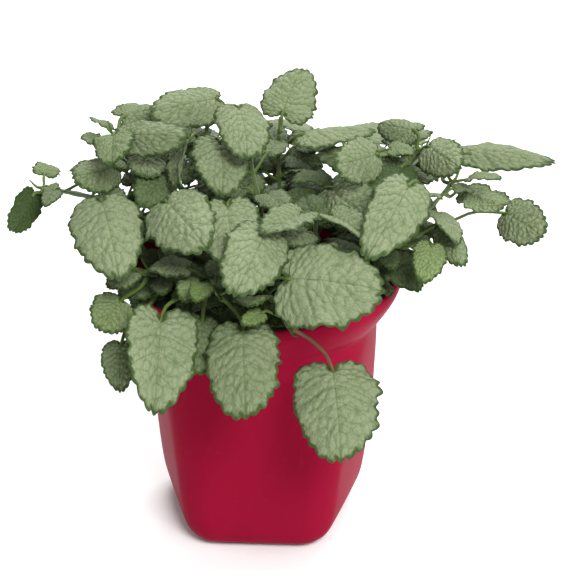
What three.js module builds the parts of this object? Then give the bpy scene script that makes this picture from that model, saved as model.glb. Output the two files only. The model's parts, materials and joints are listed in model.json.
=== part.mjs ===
import * as THREE from 'three';

// A spotted dead nettle in a five-sided pot. Millimetres, +Z up, +X right, -Y to the front.
// The origin is the centre of the pot's underside.

// ---- driving dimensions ----

const CLEARANCE = 0.3;

// Pot: round at the neck and rim, five flat sides with soft corners below.
const POT = {
  sides: 5,
  turn: -92,            // compass angle of the middle of the front side, degrees
  height: 155,
  neckHeight: 130,
  neckRadius: 62.5,
  rimRadius: 75,
  rimBand: 6,           // height of the upright lip at the top of the rim
  lipRound: 1,
  footFlat: 54,         // axis to the middle of a side, just above the rounded foot
  cornerRadius: 22,
  footRise: 26,         // height of the rounded foot
  footInset: 14,        // how far the underside stands in from the walls
  wall: 2.4,
  floor: 4,
};
const SOIL_DROP = 17;   // soil surface below the rim

// Stems are square.
const STEM_WIDTH = 2.8;
const STEM_TIP_SHARE = 0.6;
const STEM_STEPS = 14;

// Leaves: a round stalk with a groove on top, and a thin blade with a thicker midrib.
const STALK_RADIUS = 1.0;
const STALK_GROOVE = 0.35;
const STALK_STEPS = 4;
const BLADE_THICKNESS = 0.8;
const MIDRIB_TOP = 0.4;
const MIDRIB_KEEL = 1.0;
const BLADE_ARCH = 25;  // how far the two halves droop towards their margins, degrees

// ---- colours ----

const potMaterial = new THREE.MeshStandardMaterial({ color: 0x9b1d3a, roughness: 0.35, metalness: 0 });
const soilMaterial = new THREE.MeshStandardMaterial({ color: 0x1d1511, roughness: 0.95, metalness: 0 });
const stemMaterial = new THREE.MeshStandardMaterial({ color: 0x4a6b2c, roughness: 0.6, metalness: 0 });
const leafMaterial = new THREE.MeshStandardMaterial({ color: 0x8b9d76, roughness: 0.7, metalness: 0 });

const plant = new THREE.Group();

function addMesh(name, geometry, material) {
  const mesh = new THREE.Mesh(geometry, material);
  mesh.name = name;
  plant.add(mesh);
}

// ---- closed solids from sections ----

// Skins a list of sections, each with the same number of points, and closes both ends with a
// fan round a point, which is the middle of the section unless another is given.
// Points run anticlockwise when seen from the end towards the start.
function loft(sections, endPoint) {
  const around = sections[0].length;
  const middle = (ring) => ring
    .reduce((sum, point) => sum.add(point), new THREE.Vector3())
    .divideScalar(around);
  const points = [...sections.flat(), middle(sections[0]), endPoint ?? middle(sections.at(-1))];
  const startPole = points.length - 2;
  const endPole = points.length - 1;
  const last = (sections.length - 1) * around;
  const index = [];
  for (let i = 0; i < around; i++) {
    const next = (i + 1) % around;
    for (let row = 0; row < last; row += around) {
      index.push(row + i, row + next, row + next + around);
      index.push(row + i, row + next + around, row + i + around);
    }
    index.push(startPole, next, i, endPole, last + i, last + next);
  }
  const geometry = new THREE.BufferGeometry();
  const positions = points.flatMap((point) => [point.x, point.y, point.z]);
  geometry.setAttribute('position', new THREE.Float32BufferAttribute(positions, 3));
  geometry.setIndex(index);
  return geometry;
}

// ---- pot and soil ----

const ARC_POINTS = 8;   // points round each soft corner

// A horizontal outline at height z: straight sides at `flat` from the axis, joined by arcs.
// With corner equal to flat it is a circle.
function potOutline(z, flat, corner) {
  const halfSide = Math.PI / POT.sides;
  const centre = (flat - corner) / Math.cos(halfSide);
  const points = [];
  for (let side = 0; side < POT.sides; side++) {
    const cornerAngle = THREE.MathUtils.degToRad(POT.turn) + (2 * side + 1) * halfSide;
    for (let i = 0; i < ARC_POINTS; i++) {
      const angle = cornerAngle + halfSide * ((2 * (i + 0.5)) / ARC_POINTS - 1);
      points.push(new THREE.Vector3(
        centre * Math.cos(cornerAngle) + corner * Math.cos(angle),
        centre * Math.sin(cornerAngle) + corner * Math.sin(angle),
        z,
      ));
    }
  }
  return points;
}

// The body below the neck: sides and corners at a height.
function bodyAt(z) {
  const rise = THREE.MathUtils.clamp((z - POT.footRise) / (POT.neckHeight - POT.footRise), 0, 1);
  const flat = THREE.MathUtils.lerp(POT.footFlat, POT.neckRadius, rise);
  const corner = THREE.MathUtils.lerp(POT.cornerRadius, POT.neckRadius, rise ** 2);
  const below = THREE.MathUtils.clamp(1 - z / POT.footRise, 0, 1);
  const inset = POT.footInset * (1 - Math.sqrt(1 - below ** 2));
  return [z, flat - inset, corner - inset * 0.8];
}

// The rim flares out of the neck in a hollow curve and ends in an upright lip.
function flareAt(share) {
  const top = POT.height - POT.rimBand;
  const z = THREE.MathUtils.lerp(POT.neckHeight, top, share);
  const radius = THREE.MathUtils.lerp(POT.neckRadius, POT.rimRadius, share ** 0.7);
  return [z, radius, radius];
}

const bodyHeights = [
  ...[0, 0.08, 0.25, 0.5, 1].map((share) => share * POT.footRise),
  ...[0.25, 0.5, 0.75, 0.9].map((share) => THREE.MathUtils.lerp(POT.footRise, POT.neckHeight, share)),
];
const soilTop = POT.height - SOIL_DROP;
const soilShare = (soilTop - POT.neckHeight) / (POT.height - POT.rimBand - POT.neckHeight);
const flareShares = [0, 0.12, soilShare, 0.7, 1].sort((a, b) => a - b);
const wallLevels = [...bodyHeights.map(bodyAt), ...flareShares.map(flareAt)];
const insideLevels = wallLevels
  .filter(([z]) => z > POT.floor + 1)
  .map(([z, flat, corner]) => [z, flat - POT.wall, corner - POT.wall]);
const [, floorFlat, floorCorner] = bodyAt(POT.floor);
insideLevels.unshift([POT.floor, floorFlat - POT.wall, floorCorner - POT.wall]);

const rim = POT.rimRadius;
const inner = rim - POT.wall;
const lip = [
  [POT.height - POT.lipRound, rim, rim],
  [POT.height, rim - POT.lipRound, rim - POT.lipRound],
  [POT.height, inner + POT.lipRound / 2, inner + POT.lipRound / 2],
  [POT.height - POT.lipRound / 2, inner, inner],
];
const potLevels = [...wallLevels, ...lip, ...insideLevels.slice().reverse()];
addMesh('pot', loft(potLevels.map((level) => potOutline(...level))), potMaterial);

// The soil fills the pot up to its surface, a little clear of the wall and floor.
const soilLevels = insideLevels
  .filter(([z]) => z <= soilTop + 0.01)
  .map(([z, flat, corner]) => [z, flat - CLEARANCE, corner - CLEARANCE]);
soilLevels[0][0] += CLEARANCE;
addMesh('soil', loft(soilLevels.map((level) => potOutline(...level))), soilMaterial);

// ---- stems and leaves ----

// The shoots below are laid out over a pot of this height and rim radius. They hang over the
// real rim and spread with it, whatever those are, and their feet stand on the real soil.
const LAYOUT_HEIGHT = 155;
const LAYOUT_RIM = 75;
const spread = POT.rimRadius / LAYOUT_RIM;

function placed([x, y, z]) {
  return new THREE.Vector3(
    x * spread, y * spread, POT.height + (z - LAYOUT_HEIGHT) * spread);
}

// Each shoot: its stem's route above the soil, then its leaves.
// foot is where the stem stands on the soil, [x, y], and route is where it goes from there,
// [x, y, z]. A leaf joins the stem at the share `on` of its length, and its blade starts at
// `at`. heading is the compass angle of the blade from base to tip (0 is +X, 90 is +Y), rise
// its slope, and roll its turn about its own length, its right side down when positive.
// size is [length, width]. fold lifts the two halves, curl bends the tip down.
const shoots = [
  { // far left, reaching out sideways
    foot: [-34, -4],
    route: [[-46, -8, 172], [-68, -14, 193], [-92, -18, 202], [-112, -12, 203]],
    leaves: [
      { on: 0.6, at: [-74, -20, 218], heading: -134, rise: 6, roll: -40, size: [26, 24], fold: -20, curl: 20 },
      { on: 1, at: [-117, -14, 200], heading: -112, rise: -28, roll: 140, size: [25, 15], fold: 25, curl: 15 },
      { on: 0.45, at: [-78, -45, 211], heading: -74, rise: -26, roll: 8, size: [47, 37], fold: -8, curl: 30 },
    ],
  },
  { // tall left
    foot: [-28, 12],
    route: [[-44, 10, 172], [-62, 0, 204], [-74, -12, 231]],
    leaves: [
      { on: 1, at: [-70, -3, 239], heading: 52, rise: -8, roll: 32, size: [29, 20], fold: -10, curl: 25 },
      { on: 1, at: [-70, -21, 236], heading: -26, rise: 8, roll: 46, size: [40, 21], fold: -15, curl: 20 },
      { on: 0.75, at: [-59, -10, 225], heading: -84, rise: -16, roll: 0, size: [25, 22], fold: 0, curl: 20 },
    ],
  },
  { // upper left
    foot: [-16, 8],
    route: [[-22, 6, 172], [-30, 0, 206], [-29, 8, 231]],
    leaves: [
      { on: 1, at: [-24, 13, 243], heading: -146, rise: 0, roll: -42, size: [40, 26], fold: -15, curl: 25 },
      { on: 0.8, at: [-21, -26, 235], heading: -86, rise: -36, roll: 0, size: [31, 28], fold: 5, curl: 30 },
      { on: 0.85, at: [-36, -20, 234], heading: -98, rise: -34, roll: 62, size: [30, 22], fold: 35, curl: 20 },
      { on: 0.6, at: [-51, -22, 218], heading: -106, rise: -24, roll: -26, size: [27, 21], fold: 0, curl: 25 },
      { on: 0.35, at: [-46, -54, 215], heading: -58, rise: -12, roll: 30, size: [40, 35], fold: -5, curl: 35 },
    ],
  },
  { // middle
    foot: [0, -12],
    route: [[2, -18, 172], [-2, -26, 204], [-10, -12, 238]],
    leaves: [
      { on: 1, at: [-12, -21, 251], heading: -80, rise: -32, roll: -4, size: [33, 28], fold: -5, curl: 35 },
      { on: 0.55, at: [-16, -60, 216], heading: -80, rise: -34, roll: 4, size: [37, 31], fold: 5, curl: 25 },
    ],
  },
  { // top, behind the middle
    foot: [12, 14],
    route: [[10, 16, 172], [8, 16, 204], [8, 6, 227]],
    leaves: [
      { on: 1, at: [10, 10, 237], heading: 68, rise: 30, roll: 14, size: [31, 29], fold: 0, curl: 15 },
      { on: 0.9, at: [20, 0, 229], heading: 18, rise: -2, roll: 2, size: [40, 22], fold: -15, curl: 20 },
    ],
  },
  { // front middle
    foot: [18, -26],
    route: [[22, -38, 170], [26, -54, 194], [26, -58, 207]],
    leaves: [
      { on: 1, at: [19, -64, 213], heading: -130, rise: -2, roll: -6, size: [28, 22], fold: 30, curl: 20 },
      { on: 1, at: [33, -60, 210], heading: -50, rise: -6, roll: 0, size: [27, 20], fold: 35, curl: 30 },
      { on: 0.7, at: [2, -78, 210], heading: -112, rise: -24, roll: -24, size: [40, 30], fold: 0, curl: 30 },
    ],
  },
  { // right of the middle
    foot: [20, 2],
    route: [[28, -2, 172], [40, -8, 200], [50, -16, 222]],
    leaves: [
      { on: 1, at: [56, -31, 231], heading: -140, rise: 4, roll: -58, size: [28, 26], fold: -12, curl: 15 },
      { on: 0.65, at: [34, -29, 212], heading: -54, rise: -8, roll: 46, size: [33, 32], fold: 0, curl: 25 },
    ],
  },
  { // upper right
    foot: [30, 10],
    route: [[44, 8, 172], [66, 0, 202], [80, -6, 222]],
    leaves: [
      { on: 1, at: [77, -1, 232], heading: 134, rise: -8, roll: -36, size: [26, 18], fold: -15, curl: 25 },
      { on: 1, at: [83, -15, 229], heading: -56, rise: -6, roll: 40, size: [26, 25], fold: -12, curl: 30 },
      { on: 0.9, at: [70, -16, 218], heading: 236, rise: -8, roll: 150, size: [28, 24], fold: 10, curl: 15 },
    ],
  },
  { // far right, leaning out over the rim
    foot: [38, -8],
    route: [[50, -24, 166], [68, -34, 186], [84, -30, 202], [96, -16, 210]],
    leaves: [
      { on: 1, at: [108, 22, 212], heading: -12, rise: -3, roll: 20, size: [47, 21], fold: -10, curl: 25 },
      { on: 0.7, at: [129, 6, 183], heading: -50, rise: -10, roll: 54, size: [27, 27], fold: -5, curl: 30 },
      { on: 0.9, at: [106, -8, 202], heading: -46, rise: 0, roll: 196, size: [25, 22], fold: 20, curl: 20 },
      { on: 0.65, at: [89, -44, 199], heading: -72, rise: -26, roll: 18, size: [26, 20], fold: -30, curl: 35 },
      { on: 0.55, at: [82, -60, 196], heading: -108, rise: -30, roll: -12, size: [22, 18], fold: 0, curl: 30 },
      { on: 0.8, at: [70, -57, 226], heading: -122, rise: -28, roll: -26, size: [45, 29], fold: -5, curl: 30 },
    ],
  },
  { // front right, trailing over the rim
    foot: [-4, -42],
    route: [[-2, -58, 164], [6, -76, 173], [14, -88, 165]],
    leaves: [
      { on: 0.5, at: [13, -93, 194], heading: -12, rise: -2, roll: 44, size: [46, 46], fold: -8, curl: 25 },
      { on: 1, at: [35, -87, 141], heading: -84, rise: -42, roll: 6, size: [46, 44], fold: -6, curl: 25 },
    ],
  },
  { // front left, trailing over the rim
    foot: [-22, -34],
    route: [[-24, -50, 166], [-24, -66, 179], [-20, -78, 177]],
    leaves: [
      { on: 1, at: [-8, -92, 166], heading: -86, rise: -42, roll: 2, size: [44, 36], fold: -5, curl: 30 },
      { on: 0.7, at: [-47, -87, 168], heading: -92, rise: -42, roll: -24, size: [44, 36], fold: 25, curl: 20 },
      { on: 0.85, at: [-28, -80, 164], heading: -98, rise: -40, roll: -22, size: [28, 22], fold: 0, curl: 25 },
    ],
  },
  { // low left
    foot: [-36, -22],
    route: [[-48, -38, 165], [-58, -54, 176]],
    leaves: [
      { on: 0.9, at: [-68, -68, 168], heading: -112, rise: -14, roll: -36, size: [23, 23], fold: -5, curl: 30 },
      { on: 0.65, at: [-68, -76, 148], heading: -88, rise: -44, roll: -4, size: [23, 18], fold: 0, curl: 30 },
    ],
  },
  { // back left
    foot: [-26, 26],
    route: [[-42, 40, 172], [-60, 58, 194]],
    leaves: [
      { on: 1, at: [-72, 74, 196], heading: 136, rise: -18, roll: 0, size: [24, 22], fold: -5, curl: 30 },
      { on: 0.75, at: [-78, 44, 196], heading: 178, rise: -12, roll: 6, size: [30, 28], fold: 0, curl: 30 },
      { on: 0.85, at: [-44, 74, 194], heading: 104, rise: -30, roll: -6, size: [44, 40], fold: -5, curl: 25 },
    ],
  },
  { // back
    foot: [2, 34],
    route: [[4, 48, 172], [8, 62, 198]],
    leaves: [
      { on: 1, at: [10, 78, 204], heading: 84, rise: -20, roll: 0, size: [46, 40], fold: -5, curl: 30 },
      { on: 0.6, at: [22, 84, 172], heading: 78, rise: -42, roll: 0, size: [42, 38], fold: 0, curl: 25 },
    ],
  },
  { // back right
    foot: [30, 26],
    route: [[46, 36, 172], [64, 48, 192]],
    leaves: [
      { on: 1, at: [78, 62, 194], heading: 38, rise: -16, roll: 0, size: [44, 38], fold: -5, curl: 30 },
      { on: 0.85, at: [54, 66, 202], heading: 66, rise: -8, roll: 0, size: [38, 34], fold: 0, curl: 30 },
    ],
  },
];

// Half of a blade's outline from its base to its tip: how far along, as a share of the length,
// and how far out, as a share of the half width, on the midrib, halfway out and at the margin.
// The margin starts behind the base, because the blade is heart-shaped.
const BLADE_ROWS = [
  { rib: 0, middle: [-0.04, 0.14], margin: [-0.09, 0.28] },
  { rib: 0.08, middle: [-0.08, 0.34], margin: [-0.16, 0.56] },
  { rib: 0.2, middle: [0.06, 0.56], margin: [-0.03, 0.92] },
  { rib: 0.38, middle: [0.33, 0.55], margin: [0.26, 1] },
  { rib: 0.6, middle: [0.59, 0.46], margin: [0.56, 0.86] },
  { rib: 0.82, middle: [0.82, 0.3], margin: [0.8, 0.54] },
  { rib: 0.95, middle: [0.94, 0.12], margin: [0.93, 0.22] },
];

const radians = THREE.MathUtils.degToRad;

function stemCurve({ foot, route }) {
  const points = route.map(placed);
  points.unshift(placed([...foot, 0]).setZ(soilTop + CLEARANCE));
  return new THREE.CatmullRomCurve3(points, false, 'centripetal');
}

// Frames along a curve: up is carried from the start without twisting.
function framesAlong(curve, steps, startUp) {
  const frames = [];
  let carried = startUp;
  for (let step = 0; step <= steps; step++) {
    const centre = curve.getPointAt(step / steps);
    const along = curve.getTangentAt(step / steps);
    const up = carried.clone().addScaledVector(along, -carried.dot(along)).normalize();
    frames.push({ centre, along, up, side: up.clone().cross(along) });
    carried = up;
  }
  return frames;
}

function ringAt({ centre, side, up }, outline) {
  return outline.map(([across, high]) => (
    centre.clone().addScaledVector(side, across).addScaledVector(up, high)));
}

const stemHalfAt = (share) => (STEM_WIDTH / 2) * THREE.MathUtils.lerp(1, STEM_TIP_SHARE, share);

function stemSections(frames) {
  const sections = frames.map((frame, step) => {
    const half = stemHalfAt(step / STEM_STEPS);
    return ringAt(frame, [[half, -half], [half, half], [-half, half], [-half, -half]]);
  });
  // The foot is cut level, so that it stands flat on the soil.
  for (const point of sections[0]) {
    point.z = soilTop + CLEARANCE;
  }
  return sections;
}

// The blade's own frame and its bent, folded surface.
function bladeShape({ at, heading, rise, roll, size, fold, curl }) {
  const [length, width] = size.map((measure) => measure * spread);
  const bend = radians(curl);
  const side = new THREE.Vector3(Math.sin(radians(heading)), -Math.cos(radians(heading)), 0);
  const chord = new THREE.Vector3(
    Math.cos(radians(heading)) * Math.cos(radians(rise)),
    Math.sin(radians(heading)) * Math.cos(radians(rise)),
    Math.sin(radians(rise)),
  );
  side.applyAxisAngle(chord, radians(roll));
  const along = chord.clone().applyAxisAngle(side, bend / 2);
  const up = side.clone().cross(along);
  const radius = length / bend;
  const base = placed(at);

  // share along the length, share of the half width (right positive), height above the blade
  function point(share, out, high) {
    const angle = bend * share;
    const normal = up.clone().multiplyScalar(Math.cos(angle)).addScaledVector(along, Math.sin(angle));
    const lift = radians(fold) - radians(BLADE_ARCH) * Math.abs(out) / 2;
    const across = (width / 2) * out * Math.cos(lift);
    const raised = (width / 2) * Math.abs(out) * Math.sin(lift) + high;
    return base.clone()
      .addScaledVector(along, radius * Math.sin(angle))
      .addScaledVector(up, -radius * (1 - Math.cos(angle)))
      .addScaledVector(side, across)
      .addScaledVector(normal, raised);
  }
  return { base, along, side, up, point };
}

// Eight points round a blade: left margin, over the top to the right margin, back underneath.
function bladeSection(shape, { rib, middle, margin }) {
  const half = BLADE_THICKNESS / 2;
  return [
    shape.point(margin[0], -margin[1], 0),
    shape.point(middle[0], -middle[1], half),
    shape.point(rib, 0, MIDRIB_TOP),
    shape.point(middle[0], middle[1], half),
    shape.point(margin[0], margin[1], 0),
    shape.point(middle[0], middle[1], -half),
    shape.point(rib, 0, -MIDRIB_KEEL),
    shape.point(middle[0], -middle[1], -half),
  ];
}

// The stalk leaves the stem square to it and runs into the blade along its midrib.
function stalkSections(shape, stemFrames, on) {
  const step = Math.round(on * STEM_STEPS);
  const stem = stemFrames[step];
  const outward = shape.base.clone().sub(stem.centre);
  const reach = outward.length();
  outward.addScaledVector(stem.along, -outward.dot(stem.along)).normalize();
  const standOff = stemHalfAt(step / STEM_STEPS)
    * (Math.abs(outward.dot(stem.side)) + Math.abs(outward.dot(stem.up)));
  const start = stem.centre.clone().addScaledVector(outward, standOff + CLEARANCE);
  const end = shape.base.clone().addScaledVector(shape.along, -STALK_RADIUS / 2);
  // Drawn from the blade back to the stem, so that the groove meets the blade's upper face.
  const curve = new THREE.CubicBezierCurve3(
    end,
    end.clone().addScaledVector(shape.along, -reach * 0.35),
    start.clone().addScaledVector(outward, reach * 0.35),
    start,
  );
  const outline = [];
  for (let i = 0; i < 8; i++) {
    const angle = (Math.PI * i) / 4;
    const radius = i === 2 ? STALK_RADIUS - STALK_GROOVE : STALK_RADIUS;
    outline.push([-radius * Math.cos(angle), radius * Math.sin(angle)]);
  }
  return framesAlong(curve, STALK_STEPS, shape.up)
    .map((frame) => ringAt(frame, outline))
    .reverse();
}

shoots.forEach((shoot, shootIndex) => {
  const frames = framesAlong(stemCurve(shoot), STEM_STEPS, new THREE.Vector3(0, -1, 0));
  addMesh(`stem_${shootIndex + 1}`, loft(stemSections(frames)), stemMaterial);
  shoot.leaves.forEach((leaf, leafIndex) => {
    const shape = bladeShape(leaf);
    const sections = [
      ...stalkSections(shape, frames, leaf.on),
      ...BLADE_ROWS.map((row) => bladeSection(shape, row)),
    ];
    const name = `leaf_${shootIndex + 1}_${leafIndex + 1}`;
    addMesh(name, loft(sections, shape.point(1, 0, 0)), leafMaterial);
  });
});

export default plant;
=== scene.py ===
import json
import math

import bmesh
import bpy
import numpy as np
from mathutils import Matrix, Vector

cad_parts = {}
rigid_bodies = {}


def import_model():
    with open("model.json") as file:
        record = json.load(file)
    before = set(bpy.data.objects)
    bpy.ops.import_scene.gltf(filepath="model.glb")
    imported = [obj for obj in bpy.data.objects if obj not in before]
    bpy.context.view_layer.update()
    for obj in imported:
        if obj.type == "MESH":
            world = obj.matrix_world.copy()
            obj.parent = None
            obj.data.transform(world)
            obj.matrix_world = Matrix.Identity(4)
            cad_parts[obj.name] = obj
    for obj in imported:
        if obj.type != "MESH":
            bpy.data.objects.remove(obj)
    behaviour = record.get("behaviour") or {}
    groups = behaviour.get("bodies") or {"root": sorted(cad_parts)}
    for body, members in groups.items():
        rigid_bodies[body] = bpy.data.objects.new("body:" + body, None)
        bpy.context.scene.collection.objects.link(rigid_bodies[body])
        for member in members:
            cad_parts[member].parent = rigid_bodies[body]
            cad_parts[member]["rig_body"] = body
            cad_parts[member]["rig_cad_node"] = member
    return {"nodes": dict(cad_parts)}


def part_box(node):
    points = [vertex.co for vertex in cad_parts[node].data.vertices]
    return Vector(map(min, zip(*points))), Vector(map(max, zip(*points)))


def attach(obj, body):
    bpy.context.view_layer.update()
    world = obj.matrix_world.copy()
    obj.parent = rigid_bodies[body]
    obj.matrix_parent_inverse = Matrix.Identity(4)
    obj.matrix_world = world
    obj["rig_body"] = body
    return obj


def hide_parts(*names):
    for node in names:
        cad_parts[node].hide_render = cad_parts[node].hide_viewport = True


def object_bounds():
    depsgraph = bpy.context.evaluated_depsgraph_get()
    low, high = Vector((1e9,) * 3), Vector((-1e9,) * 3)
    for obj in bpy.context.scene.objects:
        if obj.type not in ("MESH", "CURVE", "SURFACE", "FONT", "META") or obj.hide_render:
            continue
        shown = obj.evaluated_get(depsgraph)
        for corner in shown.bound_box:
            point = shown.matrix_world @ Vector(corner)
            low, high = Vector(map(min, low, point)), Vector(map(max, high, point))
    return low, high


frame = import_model()
cad_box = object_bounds()
bpy.ops.object.select_all(action="DESELECT")

# ------------------------------------------------------------------------------------------
# The pot: one injection-moulded shell of satin crimson plastic. It is round at its flared rim
# and neck and five-sided below, with soft corners and a rounded foot.
# ------------------------------------------------------------------------------------------


def colour(red, green, blue):
    """A linear colour from its everyday 0 to 255 values."""
    return tuple(
        (c / 255 / 12.92) if c / 255 <= 0.04045 else ((c / 255 + 0.055) / 1.055) ** 2.4
        for c in (red, green, blue)
    ) + (1.0,)


def copy_of_node(node, name):
    """A whole, welded copy of a CAD node's mesh, active and alone in the selection."""
    bpy.ops.object.select_all(action="DESELECT")
    piece = frame["nodes"][node].copy()
    piece.data = piece.data.copy()
    piece.name = piece.data.name = name
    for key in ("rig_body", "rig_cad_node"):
        if key in piece:
            del piece[key]
    piece.parent = None
    bpy.context.scene.collection.objects.link(piece)
    piece.data.materials.clear()
    piece.select_set(True)
    bpy.context.view_layer.objects.active = piece
    bpy.ops.object.mode_set(mode="EDIT")
    bpy.ops.mesh.select_all(action="SELECT")
    bpy.ops.mesh.remove_doubles(threshold=1e-6)
    bpy.ops.object.mode_set(mode="OBJECT")
    return piece


def apply_modifier(piece, kind, **settings):
    """Adds a modifier with these settings and applies it."""
    modifier = piece.modifiers.new(kind.title(), kind)
    for key, value in settings.items():
        setattr(modifier, key, value)
    bpy.context.view_layer.objects.active = piece
    bpy.ops.object.modifier_apply(modifier=modifier.name)


def new_material(name):
    """A material with its node tree, and its Principled shader."""
    material = bpy.data.materials.new(name)
    material.use_nodes = True
    return material, material.node_tree, material.node_tree.nodes["Principled BSDF"]


def add_node(tree, kind, values=(), **settings):
    """A node with its settings, and its unlinked inputs set by name or place."""
    node = tree.nodes.new(kind)
    for key, value in settings.items():
        setattr(node, key, value)
    for key, value in dict(values).items():
        node.inputs[key].default_value = value
    return node


def ramp(tree, source, stops, interpolation="EASE"):
    """A colour ramp over a value: stops are (place, colour or grey)."""
    node = tree.nodes.new("ShaderNodeValToRGB")
    node.color_ramp.interpolation = interpolation
    elements = node.color_ramp.elements
    while len(elements) < len(stops):
        elements.new(0.5)
    for element, (place, value) in zip(elements, stops):
        element.position = place
        element.color = value if isinstance(value, tuple) else (value, value, value, 1)
    tree.links.new(source, node.inputs[0])
    return node.outputs[0]


def mix(tree, factor, first, second, blend="MIX"):
    """A colour mix: each of the three may be a socket or a value."""
    node = add_node(tree, "ShaderNodeMix", data_type="RGBA", blend_type=blend)
    for socket, value in ((node.inputs[0], factor), (node.inputs[6], first), (node.inputs[7], second)):
        if isinstance(value, bpy.types.NodeSocket):
            tree.links.new(value, socket)
        else:
            socket.default_value = value
    return node.outputs[2]


def math_node(tree, operation, first, second=0.0, third=0.0, clamp=False):
    """A maths node on sockets or values."""
    node = add_node(tree, "ShaderNodeMath", operation=operation, use_clamp=clamp)
    for socket, value in zip(node.inputs, (first, second, third)):
        if isinstance(value, bpy.types.NodeSocket):
            tree.links.new(value, socket)
        else:
            socket.default_value = value
    return node.outputs[0]


def object_noise(tree, scale, detail=4.0, roughness=0.55, stretch=(1, 1, 1)):
    """Noise on the piece's own coordinates, per metre."""
    place = add_node(tree, "ShaderNodeTexCoord")
    mapping = add_node(tree, "ShaderNodeMapping", {"Scale": stretch})
    noise = add_node(tree, "ShaderNodeTexNoise", {"Scale": scale, "Detail": detail, "Roughness": roughness})
    tree.links.new(place.outputs["Object"], mapping.inputs[0])
    tree.links.new(mapping.outputs[0], noise.inputs["Vector"])
    return noise.outputs["Fac"]


pot = copy_of_node("pot", "flower_pot")
bpy.ops.object.mode_set(mode="EDIT")
bpy.ops.mesh.select_all(action="SELECT")
bpy.ops.mesh.tris_convert_to_quads(face_threshold=math.radians(40), shape_threshold=math.radians(70))
bpy.ops.object.mode_set(mode="OBJECT")
apply_modifier(pot, "SUBSURF", levels=2, render_levels=2)
bpy.ops.object.shade_smooth()

pot_plastic, tree, shader = new_material("pot_plastic")
shader.inputs["Roughness"].default_value = 0.36
shader.inputs["Specular IOR Level"].default_value = 0.006
shader.inputs["Specular Tint"].default_value = (1.0, 0.55, 0.6, 1)
cloudy = object_noise(tree, 14, 3)
body_colour = mix(tree, cloudy, colour(130, 14, 40), colour(143, 19, 49))
dust = ramp(tree, object_noise(tree, 260, 6, 0.7), ((0.55, 0.0), (0.8, 1.0)))
scuffs = ramp(tree, object_noise(tree, 90, 8, 0.75, (1, 1, 0.12)), ((0.62, 0.0), (0.72, 1.0)))
marks = math_node(
    tree, "ADD", math_node(tree, "MULTIPLY", dust, 0.05), math_node(tree, "MULTIPLY", scuffs, 0.07)
)
tree.links.new(mix(tree, marks, body_colour, colour(190, 110, 122)), shader.inputs["Base Color"])
rough = math_node(tree, "ADD", math_node(tree, "MULTIPLY", cloudy, 0.1), 0.3)
rough = math_node(tree, "ADD", rough, math_node(tree, "MULTIPLY", scuffs, 0.14))
tree.links.new(rough, shader.inputs["Roughness"])
grain = add_node(tree, "ShaderNodeBump", {"Strength": 0.12, "Distance": 0.0004})
tree.links.new(object_noise(tree, 900, 2), grain.inputs["Height"])
waves = add_node(tree, "ShaderNodeBump", {"Strength": 0.25, "Distance": 0.002})
tree.links.new(object_noise(tree, 22, 1), waves.inputs["Height"])
tree.links.new(grain.outputs[0], waves.inputs["Normal"])
tree.links.new(waves.outputs[0], shader.inputs["Normal"])
pot.data.materials.append(pot_plastic)
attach(pot, "root")
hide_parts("pot")

# ------------------------------------------------------------------------------------------
# The soil: dark, damp potting compost of bark and peat, level with the bottom of the flare.
# It is loose and crumbly on top, and it fills the pot.
# ------------------------------------------------------------------------------------------

SOIL_RELIEF = 0.0022
CRUMBS = 420

soil = copy_of_node("soil", "potting_soil")
soil_low, soil_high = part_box("soil")
soil_radius = (soil_high.x - soil_low.x) / 2
bpy.ops.object.mode_set(mode="EDIT")
bpy.ops.mesh.select_all(action="DESELECT")
bpy.ops.object.mode_set(mode="OBJECT")
for face in soil.data.polygons:
    face.select = face.center.z > soil_high.z - 1e-5
bpy.ops.object.mode_set(mode="EDIT")
bpy.ops.mesh.select_mode(type="FACE")
bpy.ops.mesh.inset(thickness=0.0006)
bpy.ops.mesh.subdivide(number_cuts=5)
bpy.ops.mesh.subdivide(number_cuts=2)
bpy.ops.object.mode_set(mode="OBJECT")
draw = np.random.default_rng(7)
lumps = [(draw.uniform(0, 2 * math.pi, 2), draw.uniform(0, 2 * math.pi, 2), k) for k in (70, 140, 260, 470)]
for vertex in soil.data.vertices:
    inward = min(1.0, max(0.0, (soil_radius - math.hypot(vertex.co.x, vertex.co.y)) / 0.004))
    if vertex.co.z > soil_high.z - 1e-5 and inward > 0:
        height = sum(
            math.sin(vertex.co.x * k * math.cos(turn[0]) + vertex.co.y * k * math.sin(turn[0]) + phase[0])
            * math.cos(vertex.co.y * k * math.cos(turn[1]) - vertex.co.x * k * math.sin(turn[1]) + phase[1])
            * 60 / k
            for turn, phase, k in lumps
        )
        vertex.co.z += SOIL_RELIEF * inward * (height * 0.5 - 0.3)
bpy.ops.mesh.primitive_ico_sphere_add(subdivisions=1, radius=1, location=(0, 0, 0))
crumb = bpy.context.object
shape = np.array([v.co for v in crumb.data.vertices])
shape *= 1 + 0.25 * np.sin(shape @ draw.uniform(-4, 4, (3, 1)) + 1.3)
faces = [tuple(p.vertices) for p in crumb.data.polygons]
crumb_points, crumb_faces = [], []
for _ in range(CRUMBS):
    angle, reach = draw.uniform(0, 2 * math.pi), (soil_radius - 0.003) * math.sqrt(draw.uniform(0, 1))
    size = 0.0006 + 0.0016 * draw.uniform(0, 1) ** 3
    turned = Matrix.Rotation(draw.uniform(0, 6), 3, Vector(draw.uniform(-1, 1, 3)).normalized())
    stretched = shape * (size * draw.uniform(0.6, 1.4, 3))
    first = len(crumb_points)
    place = np.array((reach * math.cos(angle), reach * math.sin(angle), soil_high.z - 0.0006))
    crumb_points.extend(stretched @ np.array(turned).T + place)
    crumb_faces.extend(tuple(first + i for i in face) for face in faces)
crumbs_mesh = bpy.data.meshes.new("soil_crumbs")
crumbs_mesh.from_pydata([tuple(p) for p in crumb_points], [], crumb_faces)
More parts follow.
